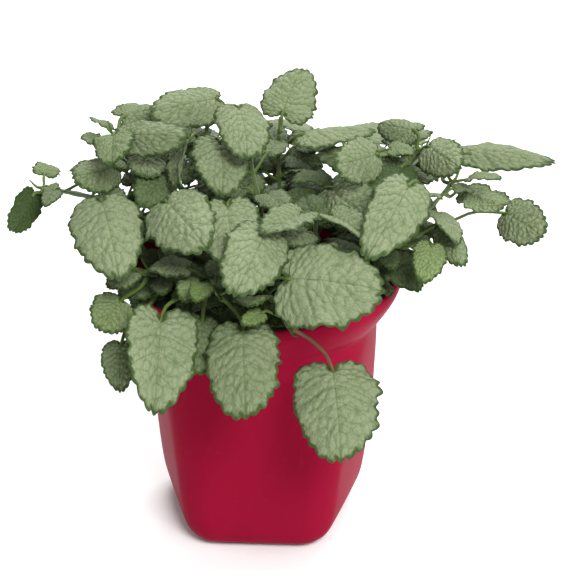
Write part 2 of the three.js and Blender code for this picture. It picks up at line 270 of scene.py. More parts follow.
crumbs = bpy.data.objects.new("soil_crumbs", crumbs_mesh)
bpy.context.scene.collection.objects.link(crumbs)
bpy.data.objects.remove(crumb)

compost, tree, shader = new_material("compost")
shader.inputs["Roughness"].default_value = 0.95
fine = object_noise(tree, 700, 6, 0.7)
bits = ramp(
    tree, object_noise(tree, 330, 2, 0.5),
    ((0.35, colour(20, 15, 12)), (0.6, colour(46, 34, 26)), (0.8, colour(84, 62, 44))),
)
tree.links.new(mix(tree, fine, colour(16, 12, 10), bits), shader.inputs["Base Color"])
bump = add_node(tree, "ShaderNodeBump", {"Strength": 0.8, "Distance": 0.0012})
tree.links.new(fine, bump.inputs["Height"])
tree.links.new(bump.outputs[0], shader.inputs["Normal"])
for piece in (soil, crumbs):
    piece.data.materials.append(compost)
    for face in piece.data.polygons:
        face.use_smooth = True
    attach(piece, "root")
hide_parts("soil")

# ------------------------------------------------------------------------------------------
# The stems: fresh square stems, green with a slight bronze flush, ribbed along their four
# corners and swollen a little at each joint where leaves come out.
# ------------------------------------------------------------------------------------------


def sections_of(node):
    """A lofted CAD solid's sections in order from its foot, each an array of points.

    The solid starts and ends in a fan of triangles round one point. Each section is in step
    with the one before, and the first starts at the point nearest its middle."""
    mesh = bmesh.new()
    mesh.from_mesh(frame["nodes"][node].data)
    bmesh.ops.remove_doubles(mesh, verts=mesh.verts, dist=1e-6)
    around = 4 if node.startswith("stem") else 8
    poles = [v for v in mesh.verts if len(v.link_edges) == around]

    def spread(pole):
        return max(e.calc_length() for e in pole.link_edges)

    foot = min(poles, key=(lambda v: v.co.z) if around == 4 else spread)
    after = {}
    for face in foot.link_faces:
        loop = [v for v in face.verts]
        i = loop.index(foot)
        after[loop[(i + 2) % 3]] = loop[(i + 1) % 3]
    ring = [min(after, key=lambda v: (v.co - foot.co).length)]
    while len(ring) < around:
        ring.append(after[ring[-1]])
    rings, used = [ring], {foot, *ring}
    while True:
        following = {}
        for i, vertex in enumerate(ring):
            neighbour = ring[(i + 1) % around]
            edge = next(e for e in vertex.link_edges if e.other_vert(vertex) is neighbour)
            for face in edge.link_faces:
                third = next(v for v in face.verts if v is not vertex and v is not neighbour)
                if third not in used:
                    following[(i + 1) % around] = third
        if len(set(following.values())) < around:
            tip = next(iter(following.values())).co if following else ring[0].co
            tip = Vector(tip)
            break
        ring = [following[i] for i in range(around)]
        rings.append(ring)
        used.update(ring)
    points = [np.array([v.co for v in r]) for r in rings]
    end = np.array(tip)
    mesh.free()
    return points, end


def smooth_path(points, steps):
    """Points along a smooth curve through the given ones."""
    points = np.asarray(points, float)
    padded = np.vstack([2 * points[0] - points[1], points, 2 * points[-1] - points[-2]])
    out = []
    for s in np.linspace(0, len(points) - 1 - 1e-9, steps):
        i = int(s)
        t = s - i
        a, b, c, d = padded[i : i + 4]
        out.append(
            0.5 * (
                (2 * b) + (c - a) * t
                + (2 * a - 5 * b + 4 * c - d) * t**2 + (3 * b - a - 3 * c + d) * t**3
            )
        )
    return np.array(out)


def tube(name, points, radii, profile):
    """A closed bar along points: profile is its outline, [sideways, upwards], for radius 1."""
    points = np.asarray(points, float)
    tangents = np.gradient(points, axis=0)
    tangents /= np.linalg.norm(tangents, axis=1)[:, None]
    up = np.array((0.0, -1.0, 0.0)) if abs(tangents[0][1]) < 0.9 else np.array((0.0, 0.0, 1.0))
    rows = []
    for point, tangent, radius in zip(points, tangents, radii):
        up = up - tangent * (up @ tangent)
        up /= np.linalg.norm(up)
        side = np.cross(up, tangent)
        rows.append(point + radius * (profile[:, :1] * side + profile[:, 1:] * up))
    around, count = len(profile), len(rows)
    vertices = np.vstack([*rows, points[:1], points[-1:]])
    faces = []
    for row in range(count - 1):
        for i in range(around):
            a, b = row * around + i, row * around + (i + 1) % around
            faces.append((a, b, b + around, a + around))
    last = (count - 1) * around
    for i in range(around):
        j = (i + 1) % around
        faces.append((count * around, j, i))
        faces.append((count * around + 1, last + i, last + j))
    mesh = bpy.data.meshes.new(name)
    mesh.from_pydata([tuple(v) for v in vertices], [], faces)
    mesh.update()
    for face in mesh.polygons:
        face.use_smooth = True
    piece = bpy.data.objects.new(name, mesh)
    bpy.context.scene.collection.objects.link(piece)
    return piece


turn = np.linspace(0, 2 * math.pi, 17)[:-1]
square = np.stack([np.cos(turn), np.sin(turn)], 1)
square /= (np.abs(square) ** 5).sum(1)[:, None] ** (1 / 5)
square *= (1 + 0.1 * np.cos(4 * turn + math.pi))[:, None]

green_stem, tree, shader = new_material("green_stem")
shader.inputs["Roughness"].default_value = 0.5
shader.inputs["Sheen Weight"].default_value = 0.2
streaks = object_noise(tree, 120, 4, 0.6, (1, 1, 0.25))
fresh = mix(tree, streaks, colour(52, 74, 30), colour(82, 102, 48))
flush = ramp(tree, object_noise(tree, 28, 2), ((0.5, 0.0), (0.75, 0.55)))
tree.links.new(mix(tree, flush, fresh, colour(98, 70, 50)), shader.inputs["Base Color"])
bump = add_node(tree, "ShaderNodeBump", {"Strength": 0.35, "Distance": 0.0004})
tree.links.new(object_noise(tree, 1500, 3, 0.6, (1, 1, 0.2)), bump.inputs["Height"])
tree.links.new(bump.outputs[0], shader.inputs["Normal"])

stem_paths = {}
for node in sorted(n for n in frame["nodes"] if n.startswith("stem_")):
    rings, _ = sections_of(node)
    centres = np.array([ring.mean(0) for ring in rings])
    path = smooth_path(centres, 48)
    stem_paths[node] = path
    share = np.linspace(0, 1, len(path))
    joints = sum(np.exp(-(((share - place) / 0.018) ** 2)) for place in (0.3, 0.5, 0.68, 0.84, 0.97))
    width = np.linalg.norm(rings[0][0] - rings[0][2]) / math.sqrt(2)
    radii = width / 2 * (1 - 0.4 * share) * (1 + 0.28 * joints)
    stem = tube("stalk_" + node.split("_")[1], path, radii, square)
    stem.data.materials.append(green_stem)
    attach(stem, "root")
    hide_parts(node)

# ------------------------------------------------------------------------------------------
# The leaves: thin heart-shaped blades on slender grooved stalks. The upper side is dusted
# silver-green and quilted between its veins, with round teeth and a dark green edge. Every
# blade is one pattern, bent and folded to its place.
# ------------------------------------------------------------------------------------------

HALF_WIDTH, LENGTH = 0.020, 0.044      # the pattern blade's own size
TEETH = 13                             # along each side
TOOTH_DEPTH = 0.08                     # as a share of the half width
BLADE_THICKNESS = 0.00042
QUILT_HEIGHT = 0.0012
QUILT_CELL = 0.0046
SIDE_VEINS = (0.15, 0.29, 0.43, 0.57, 0.70, 0.82)   # where they meet the margin
RIB_START = 0.42                       # side veins below this all leave from the base

outline = np.array([
    (0.0, 0.0), (0.05, -0.07), (0.2, -0.15), (0.43, -0.18), (0.68, -0.135), (0.87, -0.035),
    (0.97, 0.1), (1.0, 0.25), (0.985, 0.4), (0.92, 0.53), (0.8, 0.65), (0.62, 0.755),
    (0.44, 0.83), (0.22, 0.868), (0.0, 0.88),
])


def blade_pattern(name, rows, half_columns):
    """A flat blade with teeth, vein grooves and puffed cells, whose rows follow its veins.

    It keeps each point's distance to the side veins, mid rib and rim, in metres."""
    fine = smooth_path(outline * (HALF_WIDTH, LENGTH), 1200)
    walked = np.concatenate([[0], np.cumsum(np.linalg.norm(np.diff(fine, axis=0), axis=1))])
    row_share = np.linspace(0, 1, rows + 1)
    margin = np.stack([np.interp(row_share * walked[-1], walked, fine[:, k]) for k in (0, 1)], 1)
    run = np.gradient(margin, axis=0)
    outward = np.stack([run[:, 1], -run[:, 0]], 1) / np.linalg.norm(run, axis=1)[:, None]
    outward[0], outward[-1] = (0, -1), (0, 1)
    draw = np.random.default_rng(11)
    teeth_depth = draw.uniform(0.55, 1.25, TEETH + 2)
    uneven = np.cumsum(draw.uniform(0.7, 1.3, TEETH + 2))
    uneven = (uneven - uneven[0]) / (uneven[-1] - uneven[0])
    tooth_at = np.interp(
        np.clip((row_share - 0.04) / 0.96, 0, 1), uneven, np.linspace(0, TEETH - 0.5, TEETH + 2)
    )
    tooth = np.abs(np.sin(math.pi * tooth_at)) ** 0.75 * teeth_depth[tooth_at.astype(int)]
    tooth *= np.clip((row_share - 0.03) / 0.05, 0, 1)
    rib = np.clip((row_share - RIB_START) / (1 - RIB_START), 0, 1) ** 1.12 * margin[-1, 1]
    out_share = 1 - (1 - np.linspace(0, 1, half_columns + 1)) ** 1.2
    half = np.zeros((rows + 1, half_columns + 1, 2))
    for column, share in enumerate(out_share):
        half[:, column, 0] = margin[:, 0] * share
        half[:, column, 1] = rib + (margin[:, 1] - rib) * share ** (1.12 + 0.25 * row_share)
        push = TOOTH_DEPTH * HALF_WIDTH * (tooth - 0.5) * share**7
        half[:, column] += outward * push[:, None]
    vein_gap = np.full(half.shape[:2], 1.0)
    for place in SIDE_VEINS:
        row = int(round(place * rows))
        vein_gap = np.minimum(vein_gap, np.linalg.norm(half - half[row][None], axis=2))
    for place in (0.22, 0.36, 0.50, 0.635, 0.76, 0.88):
        row = int(round(place * rows))
        short = np.clip(np.abs(out_share - 0.75) / 0.15 - 1, 0, 1)[None] * 0.004 + 0.0008
        vein_gap = np.minimum(vein_gap, np.linalg.norm(half - half[row][None], axis=2) + short)
    rib_gap = half[:, :, 0].copy()
    rim_gap = np.min(np.linalg.norm(half[:, :, None] - half[None, None, 1:, -1], axis=3), axis=2)
    rim_gap[:, -1] = 0
    across = np.concatenate([half[:, :0:-1] * (-1, 1), half], axis=1)
    cells = np.array([
        ((i + 0.5 * (j % 2)) * QUILT_CELL, j * QUILT_CELL * 0.87)
        for i in range(-5, 6) for j in range(-3, 12)
    ])
    cells = cells + draw.uniform(-0.38, 0.38, cells.shape) * QUILT_CELL
    reach = np.sort(np.linalg.norm(across[:, :, None] - cells[None, None], axis=3), axis=2)
    cell_edge = reach[:, :, 1] - reach[:, :, 0]
    cell_puff = 1 - np.exp(-((cell_edge / 0.0017) ** 1.2))
    vein_all = np.concatenate([vein_gap[:, :0:-1], vein_gap], axis=1)
    rib_all = np.concatenate([rib_gap[:, :0:-1], rib_gap], axis=1)
    rim_all = np.concatenate([rim_gap[:, :0:-1], rim_gap], axis=1)
    vein_puff = 1 - np.exp(-((np.minimum(vein_all, rib_all) / 0.0016) ** 1.2))
    calm = np.clip(rim_all / 0.003, 0, 1)
    relief = QUILT_HEIGHT * (
        vein_puff * (0.08 + 0.16 * calm) + 1.0 * cell_puff * calm - 0.4 * np.exp(-rib_all / 0.0012)
    )
    bpy.ops.mesh.primitive_grid_add(x_subdivisions=2 * half_columns, y_subdivisions=rows, size=2)
    piece = bpy.context.object
    piece.name = name
    points = np.dstack([across, relief]).reshape(-1, 3)
    piece.data.vertices.foreach_set("co", points.astype(np.float32).ravel())
    values = (("side_vein", vein_all), ("mid_rib", rib_all), ("rim", rim_all), ("cell_edge", cell_edge))
    for key, value in values:
        value = value.ravel().astype(np.float32)
        piece.data.attributes.new(key, "FLOAT", "POINT").data.foreach_set("value", value)
    piece.data.attributes.new("young", "FLOAT", "POINT")
    piece.data.attributes.new("tone_and_painted_shade", "FLOAT", "POINT")
    chart = piece.data.uv_layers.active or piece.data.uv_layers.new(name="blade")
    chart.name = "blade"
    for loop in piece.data.loops:
        chart.data[loop.index].uv = points[loop.vertex_index, :2] / 0.05
    bpy.ops.object.mode_set(mode="EDIT")
    bpy.ops.mesh.select_all(action="SELECT")
    bpy.ops.mesh.remove_doubles(threshold=1e-6)
    bpy.ops.mesh.normals_make_consistent(inside=False)
    bpy.ops.object.mode_set(mode="OBJECT")
    if sum(p.normal.z * p.area for p in piece.data.polygons) < 0:
        piece.data.flip_normals()
    apply_modifier(
        piece, "SOLIDIFY", thickness=BLADE_THICKNESS, offset=-1, material_offset=1, material_offset_rim=0
    )
    bpy.ops.object.shade_smooth()
    return piece


full_pattern = blade_pattern("leaf_pattern", 96, 16)
small_pattern = blade_pattern("small_leaf_pattern", 56, 9)

# The veins, net and edge of a blade, for both of its sides.
veins = bpy.data.node_groups.new("blade_veins", "ShaderNodeTree")
veins.interface.new_socket("Net size", in_out="INPUT", socket_type="NodeSocketFloat")
for name in ("Lines", "Net", "Rim", "Mottle", "Height"):
    veins.interface.new_socket(name, in_out="OUTPUT", socket_type="NodeSocketFloat")
given, made = veins.nodes.new("NodeGroupInput"), veins.nodes.new("NodeGroupOutput")


def attribute(tree, name):
    return add_node(tree, "ShaderNodeAttribute", attribute_name=name).outputs["Fac"]


def fade(tree, source, near, far):
    """1 below near, easing to 0 at far."""
    node = add_node(
        tree, "ShaderNodeMapRange", {1: near, 2: far, 3: 1.0, 4: 0.0}, interpolation_type="SMOOTHSTEP"
    )
    tree.links.new(source, node.inputs[0])
    return node.outputs[0]


chart_node = add_node(veins, "ShaderNodeUVMap", uv_map="blade")
wander = add_node(veins, "ShaderNodeTexNoise", {"Scale": 9.0, "Detail": 2.0}, noise_dimensions="2D")
veins.links.new(chart_node.outputs[0], wander.inputs["Vector"])
shifted = add_node(veins, "ShaderNodeVectorMath", {"Scale": 0.05}, operation="SCALE")
veins.links.new(wander.outputs["Color"], shifted.inputs[0])
warped = add_node(veins, "ShaderNodeVectorMath", operation="ADD")
veins.links.new(chart_node.outputs[0], warped.inputs[0])
veins.links.new(shifted.outputs[0], warped.inputs[1])
net = add_node(veins, "ShaderNodeTexVoronoi", feature="DISTANCE_TO_EDGE", voronoi_dimensions="2D")
veins.links.new(warped.outputs[0], net.inputs["Vector"])
veins.links.new(given.outputs["Net size"], net.inputs["Scale"])
small_net = add_node(veins, "ShaderNodeTexVoronoi", feature="DISTANCE_TO_EDGE", voronoi_dimensions="2D")
veins.links.new(warped.outputs[0], small_net.inputs["Vector"])
veins.links.new(math_node(veins, "MULTIPLY", given.outputs["Net size"], 2.3), small_net.inputs["Scale"])
side, mid, rim, cell = (attribute(veins, n) for n in ("side_vein", "mid_rib", "rim", "cell_edge"))
lines = math_node(veins, "MAXIMUM", fade(veins, side, 0.00006, 0.00042), fade(veins, mid, 0.0001, 0.0006))
fine_net = math_node(veins, "MULTIPLY", fade(veins, net.outputs["Distance"], 0.0, 0.12), 0.5)
net_lines = math_node(veins, "MAXIMUM", fade(veins, cell, 0.0, 0.0013), fine_net)
small_lines = fade(veins, small_net.outputs["Distance"], 0.0, 0.16)
ragged = add_node(veins, "ShaderNodeTexNoise", {"Scale": 16.0, "Detail": 3.0}, noise_dimensions="2D")
veins.links.new(chart_node.outputs[0], ragged.inputs["Vector"])
rim_wander = math_node(veins, "MULTIPLY_ADD", ragged.outputs["Fac"], -0.0034, 0.0015)
rim_mask = fade(veins, math_node(veins, "ADD", rim, rim_wander), 0.0004, 0.0018)
valley = math_node(veins, "MAXIMUM", fade(veins, side, 0.0, 0.0016), fade(veins, mid, 0.0, 0.0018))
height = math_node(veins, "SUBTRACT", 1.0, math_node(veins, "MULTIPLY", valley, 0.4))
net_valley = math_node(veins, "MULTIPLY", fade(veins, net.outputs["Distance"], 0.0, 0.3), 0.4)
height = math_node(veins, "SUBTRACT", height, net_valley)
height = math_node(veins, "SUBTRACT", height, math_node(veins, "MULTIPLY", small_lines, 0.12))
mottle = add_node(veins, "ShaderNodeTexNoise", {"Scale": 7.0, "Detail": 5.0, "Roughness": 0.6})
place = add_node(veins, "ShaderNodeTexCoord")
wide = add_node(veins, "ShaderNodeMapping", {"Scale": (12, 12, 12)})
veins.links.new(place.outputs["Object"], wide.inputs[0])
veins.links.new(wide.outputs[0], mottle.inputs["Vector"])
both_nets = math_node(
    veins, "MAXIMUM", math_node(veins, "MULTIPLY", net_lines, 0.8),
    math_node(veins, "MULTIPLY", small_lines, 0.35),
)
for name, source in (
    ("Lines", lines),
    ("Net", both_nets),
    ("Rim", rim_mask),
    ("Mottle", mottle.outputs["Fac"]),
    ("Height", height),
):
    veins.links.new(source, made.inputs[name])

leaf_top, tree, shader = new_material("leaf_upper")
shader.inputs["Roughness"].default_value = 0.62
shader.inputs["Specular IOR Level"].default_value = 0.18
shader.inputs["Sheen Weight"].default_value = 0.02
shader.inputs["Sheen Roughness"].default_value = 0.5
marks = add_node(tree, "ShaderNodeGroup", node_tree=veins)
marks.inputs["Net size"].default_value = 15.0
young, tone_and_painted_shade = attribute(tree, "young"), attribute(tree, "tone_and_painted_shade")
silver = mix(tree, marks.outputs["Mottle"], colour(110, 121, 89), colour(134, 143, 113))
silver = mix(tree, math_node(tree, "MULTIPLY", marks.outputs["Net"], 0.72), silver, colour(70, 94, 48))
silver = mix(tree, math_node(tree, "MULTIPLY", marks.outputs["Lines"], 0.45), silver, colour(70, 91, 42))
lime = mix(tree, marks.outputs["Net"], colour(112, 136, 58), colour(80, 106, 38))
silver = mix(tree, young, silver, lime)
# Painted shade: dark is the darker green mixed in for leaves that lie in the plant's shade, with a random
# tone per leaf on top.
dark = mix(tree, marks.outputs["Net"], colour(62, 80, 40), colour(40, 58, 24))
silver = mix(tree, tone_and_painted_shade, silver, dark)
edge = math_node(tree, "MULTIPLY", marks.outputs["Rim"], 0.92)
tree.links.new(mix(tree, edge, silver, colour(42, 64, 16)), shader.inputs["Base Color"])
tree.links.new(math_node(tree, "MULTIPLY_ADD", marks.outputs["Mottle"], 0.2, 0.5), shader.inputs["Roughness"])
bump = add_node(tree, "ShaderNodeBump", {"Strength": 0.55, "Distance": 0.001})
tree.links.new(marks.outputs["Height"], bump.inputs["Height"])
tree.links.new(bump.outputs[0], shader.inputs["Normal"])

leaf_under, tree, shader = new_material("leaf_lower")
shader.inputs["Roughness"].default_value = 0.7
shader.inputs["Specular IOR Level"].default_value = 0.15
marks = add_node(tree, "ShaderNodeGroup", node_tree=veins)
marks.inputs["Net size"].default_value = 15.0
pale = mix(tree, marks.outputs["Mottle"], colour(66, 88, 46), colour(84, 106, 62))
pale = mix(tree, math_node(tree, "MULTIPLY", marks.outputs["Net"], 0.4), pale, colour(98, 118, 74))
pale = mix(tree, math_node(tree, "MULTIPLY", marks.outputs["Lines"], 0.7), pale, colour(108, 126, 80))
tree.links.new(pale, shader.inputs["Base Color"])
bump = add_node(tree, "ShaderNodeBump", {"Strength": 0.6, "Distance": 0.001}, invert=True)
tree.links.new(marks.outputs["Height"], bump.inputs["Height"])
tree.links.new(bump.outputs[0], shader.inputs["Normal"])


def stalk_material(name, first, second):
    """Fine-grained skin of a leaf stalk, between two colours."""
    material, tree, shader = new_material(name)
    shader.inputs["Roughness"].default_value = 0.55
    shader.inputs["Specular IOR Level"].default_value = 0.25
    tree.links.new(mix(tree, object_noise(tree, 90, 3), first, second), shader.inputs["Base Color"])
    bump = add_node(tree, "ShaderNodeBump", {"Strength": 0.3, "Distance": 0.0003})
    tree.links.new(object_noise(tree, 1800, 2), bump.inputs["Height"])
    tree.links.new(bump.outputs[0], shader.inputs["Normal"])
    return material


leaf_stalk = stalk_material("leaf_stalk", colour(58, 80, 30), colour(92, 110, 50))
bronze_stalk = stalk_material("bronze_stalk", colour(84, 62, 38), colour(108, 88, 56))

grooved = np.stack([np.cos(turn), np.sin(turn)], 1)[::2]
grooved[2] *= 0.62


def unit(vector):
    return vector / np.linalg.norm(vector)


def turned_about(vector, axis, angle):
    """A vector turned about a unit axis."""
    return (
        vector * math.cos(angle)
        + np.cross(axis, vector) * math.sin(angle)
        + axis * (axis @ vector) * (1 - math.cos(angle))
    )


def bent_blade(blade, out, share, high):
    """Places on a bent blade: out is -1 to 1 across it, share 0 to 1 along its rib."""
    bend = blade["curl"] * share * (1 + 0.35 * (share - 0.5))
    radius = blade["length"] / (blade["curl"] if abs(blade["curl"]) > 1e-3 else 1e-3)
    along, side = blade["along"], blade["side"]
    up = np.cross(side, along)
    lift = blade["fold"] - blade["arch"] * np.abs(out) / 2
    across = blade["half_width"] * out * np.cos(lift)
    raised = blade["half_width"] * np.abs(out) * np.sin(lift) + high
    normal = np.outer(np.cos(bend), up) + np.outer(np.sin(bend), along)
    return (
        blade["base"]
        + np.outer(radius * np.sin(bend), along)
        - np.outer(radius * (1 - np.cos(bend)), up)
        + np.outer(across, side)
        + normal * raised[:, None]
    )


def heart_shade(place):
    """Painted shade for leaves low in the heart of the plant, where they lie in shade: their green is
    darkened, 0 to 0.75.
    """
    low = np.clip((0.215 - place[2]) / 0.05, 0, 1)
    inside = np.clip((0.085 - math.hypot(place[0] - 0.01, place[1])) / 0.04, 0, 1)
    return 0.75 * low * inside


def make_leaf(name, blade, stalk, seed, young=0.0, tone_and_painted_shade=0.0, wave=1.0, pattern=None, stalk_finish=None):
    """One leaf: the pattern blade bent to its place, joined to its stalk.

    blade holds base, along, side, length, half_width, curl, fold and arch (angles in radians);
    stalk is its path from the stem to the blade's base, and its radius."""
    draw = np.random.default_rng(seed)
    mesh = (pattern or full_pattern).data.copy()
    count = len(mesh.vertices)
    points = np.empty(count * 3, np.float32)
    mesh.vertices.foreach_get("co", points)
    points = points.reshape(-1, 3).astype(float)
    out, share = points[:, 0] / HALF_WIDTH, points[:, 1] / LENGTH
    size = blade["half_width"] / HALF_WIDTH
    high = points[:, 2] * (0.35 + 0.65 * size)
    phase = draw.uniform(0, 2 * math.pi, 8)
    beat = 2 * math.pi * share
    left = out < 0
    slow, quick = np.where(left, phase[0], phase[1]), np.where(left, phase[2], phase[3])
    ruffle = 0.075 * np.abs(out) ** 2.2 * np.sin(beat * draw.uniform(1.1, 2.2) + slow)
    ruffle += 0.045 * np.abs(out) ** 3 * np.sin(beat * draw.uniform(3.0, 4.4) + quick)
    roll = 0.05 * np.sin(1.1 * beat + phase[4]) * out
    high = high + blade["half_width"] * wave * (ruffle + roll)
    taper = draw.uniform(-0.06, 0.2)
    lobe = draw.uniform(-0.07, 0.07, 2)
    beats, turns = draw.uniform(2.2, 5.5, 2), np.where(left, phase[6], phase[7])
    uneven = 0.05 * np.sin(beat * beats[0] + turns) + 0.025 * np.sin(beat * beats[1] * 1.7 - turns)
    out = out * (1 + uneven * np.abs(out) ** 4)
    out = out * (1 - taper * np.clip(share, 0, 1) ** 2) * (1 + np.where(left, *lobe))
    out = out + 0.07 * wave * math.sin(phase[5]) * np.sin(math.pi * np.clip(share, 0, 1))
    share = share * (1 + 0.03 * wave * np.sin(3 * out + phase[6]))
    places = bent_blade(blade, out, share, high)
    mesh.vertices.foreach_set("co", places.astype(np.float32).ravel())
    mesh.attributes["young"].data.foreach_set("value", np.full(count, young, np.float32))
    # Painted shade: the leaf's given darkening and the heart's painted shade darken its green, with a random
    # tone of its own on top.
    shade = tone_and_painted_shade + 0.04 + 0.2 * draw.uniform(-1, 1) + heart_shade(places.mean(0))
    mesh.attributes["tone_and_painted_shade"].data.foreach_set("value", np.full(count, min(1, max(0, shade)), np.float32))
    for key in ("side_vein", "mid_rib", "rim", "cell_edge"):
        values = np.empty(count, np.float32)
        mesh.attributes[key].data.foreach_get("value", values)
        mesh.attributes[key].data.foreach_set("value", values * (0.35 + 0.65 * size))
    mesh.update()
    leaf = bpy.data.objects.new(name, mesh)
    bpy.context.scene.collection.objects.link(leaf)
    finishes = (leaf_top, leaf_under, stalk_finish or leaf_stalk)
    for material in finishes:
        mesh.materials.append(material)
    path, radius = stalk
    if len(path) > 1:
        share = np.linspace(0, 1, 14)
        swell = radius * (1 + 0.5 * np.exp(-share / 0.08) - 0.15 * share)
        bar = tube(name + "_stalk", smooth_path(path, 14), swell, grooved)
        for material in finishes:
            bar.data.materials.append(material)
        for face in bar.data.polygons:
            face.material_index = 2
        bpy.ops.object.select_all(action="DESELECT")
        bar.select_set(True)
        leaf.select_set(True)
        bpy.context.view_layer.objects.active = leaf
        bpy.ops.object.join()
    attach(leaf, "root")
    taken.append(bent_blade(blade, *check_spots))
    return leaf


# Places on a blade where two leaves are tested for touching.
spots = [
    (o * math.sin(math.pi * (0.14 + 0.72 * s)), s)
    for s in np.linspace(-0.1, 0.9, 11) for o in np.linspace(-1, 1, 7)
]
check_spots = (np.array([s[0] for s in spots]), np.array([s[1] for s in spots]), np.zeros(len(spots)))
taken = []
NEIGHBOUR_REACH = 0.055                # leaves whose middles are further apart cannot touch


def clear_of_others(spots_now, gap):
    """Whether these places keep this gap to every leaf made so far."""
    middle = spots_now.mean(0)
    for other in taken:
        if np.linalg.norm(other.mean(0) - middle) < NEIGHBOUR_REACH:
            if np.linalg.norm(other[None] - spots_now[:, None], axis=2).min() < gap:
                return False
    return True


STALK_RINGS = 5                        # rings of a CAD leaf that belong to its stalk
BLADE_ARCH = math.radians(25)          # how far the two halves droop towards their margins

young_leaves = {"leaf_5_1": 0.05, "leaf_12_1": 0.25, "leaf_9_5": 0.35, "leaf_9_3": 0.1}
# Painted shade: these leaves lie in shade inside the plant, and are given a darker green for it.
painted_shade_leaves = {
    "leaf_1_2": 0.9, "leaf_3_4": 0.6, "leaf_11_3": 0.45, "leaf_12_2": 0.3, "leaf_2_3": 0.35,
    "leaf_8_3": 0.9,
}
for number, node in enumerate(sorted(n for n in frame["nodes"] if n.startswith("leaf_"))):
    rings, tip = sections_of(node)
    blade_rings = np.array(rings[STALK_RINGS:])
    spine = blade_rings[:, 0] + (blade_rings[:, 4] - blade_rings[:, 0]) * 2 / 7
    line = np.vstack([spine, tip])
    length = np.linalg.norm(np.diff(line, axis=0), axis=1).sum()
    across = blade_rings[3, 2] - blade_rings[3, 6]
    side = unit(across)
    first, last = unit(line[1] - line[0]), unit(line[-1] - line[-2])
    first = unit(first - side * (first @ side))
    curl = math.acos(max(-1, min(1, first @ last))) / 0.935
    up = np.cross(side, first)
    along = turned_about(first, side, curl * 0.04)
    middle = (blade_rings[3, 2] + blade_rings[3, 6]) / 2 - spine[3]
    bent_up = turned_about(np.cross(side, along), side, -curl * 0.26)
    half_width = math.hypot(np.linalg.norm(across) / 2, middle @ bent_up)
    lift = math.atan2(middle @ bent_up, np.linalg.norm(across) / 2)
    blade = {
        "base": spine[0], "along": along, "side": side, "length": length, "half_width": half_width,
        "curl": curl, "fold": lift + BLADE_ARCH / 2, "arch": BLADE_ARCH,
    }
    path = [ring.mean(0) for ring in rings[:STALK_RINGS]] + [spine[0] + along * 0.0012]
    leaf = make_leaf(
        "blade" + node[4:], blade, (path, 0.001), 100 + number, young_leaves.get(node, 0.0),
        painted_shade_leaves.get(node, 0.0), stalk_finish=bronze_stalk if node == "leaf_10_2" else None,
    )
    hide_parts(node)

# ------------------------------------------------------------------------------------------
# The small leaves: side-shoot leaves, 11 to 34 mm long, in pairs up every stem wherever the
# large ones leave room. Each pair stands square to the one below it, on short stalks.
# ------------------------------------------------------------------------------------------

MM = 0.001


def small_blade(at, heading, rise, roll, length, width, curl=45, fold=12):
    """The blade of a small leaf: its place in mm and its turns in degrees."""
    heading, rise, roll, curl, fold = (math.radians(v) for v in (heading, rise, roll, curl, fold))
    chord = np.array((math.cos(heading) * math.cos(rise), math.sin(heading) * math.cos(rise), math.sin(rise)))
    side = turned_about(np.array((math.sin(heading), -math.cos(heading), 0.0)), chord, roll)
    return {
        "base": np.array(at) * MM, "along": turned_about(chord, side, curl / 2), "side": side,
        "length": length * MM, "half_width": width * MM / 2, "curl": curl, "fold": fold,
        "arch": BLADE_ARCH,
    }


def short_stalk(blade, foot):
    """A stalk that curves from its place on the stem to the blade's base."""
    base, along = blade["base"], blade["along"]
    reach = np.linalg.norm(base - foot)
    away = base - foot
    away[2] = abs(away[2]) * 0.3 + 0.3 * reach
    return [foot, foot + unit(away) * reach * 0.35, base - along * reach * 0.3, base + along * 0.0006]


pot_low, pot_high = (np.array(corner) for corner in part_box("pot"))
rim_height, rim_radius = pot_high[2], (pot_high[0] - pot_low[0]) / 2
plant_low, plant_high = (np.array(corner) for corner in cad_box)


def from_axis(place, wide, deep_reach):
    """How far out a place is, as a share of an oval wide and deep_reach rim radii across."""
    return math.hypot(place[0] / (wide * rim_radius), place[1] / (deep_reach * rim_radius))


def in_heart(middle, low, high):
    return from_axis(middle, 1.28, 1.15) < 1 and high[2] < rim_height + 0.071 and low[2] > rim_height - 0.013


def at_back(middle, low, high):
    return (
        middle[1] > 0.015 and from_axis(middle, 1.55, 1.6) < 1
        and high[2] < rim_height + 0.07 and low[2] > rim_height - 0.009
    )


def over_rim(middle, low, high):
    return (
        middle[1] < -0.25 * rim_radius and 0.5 < from_axis(middle, 1, 1) < 1.42
        and high[2] < rim_height + 0.055 and low[2] > rim_height - 0.012
    )


def outside(middle, low, high):
    inside_box = (low > plant_low + 0.004).all() and (high < plant_high - 0.004).all()
    return inside_box and from_axis(middle, 0.8, 0.8) > 1 and low[2] > rim_height - 0.004


def youth(middle, share, luck):
    """Leaves just over the rim in front, and some at the shoot tips, are young and lime green."""
    low_front = middle[1] < -0.9 * rim_radius and middle[2] < rim_height + 0.04
    return 0.6 * luck if low_front else 0.3 * luck * (share > 0.9)


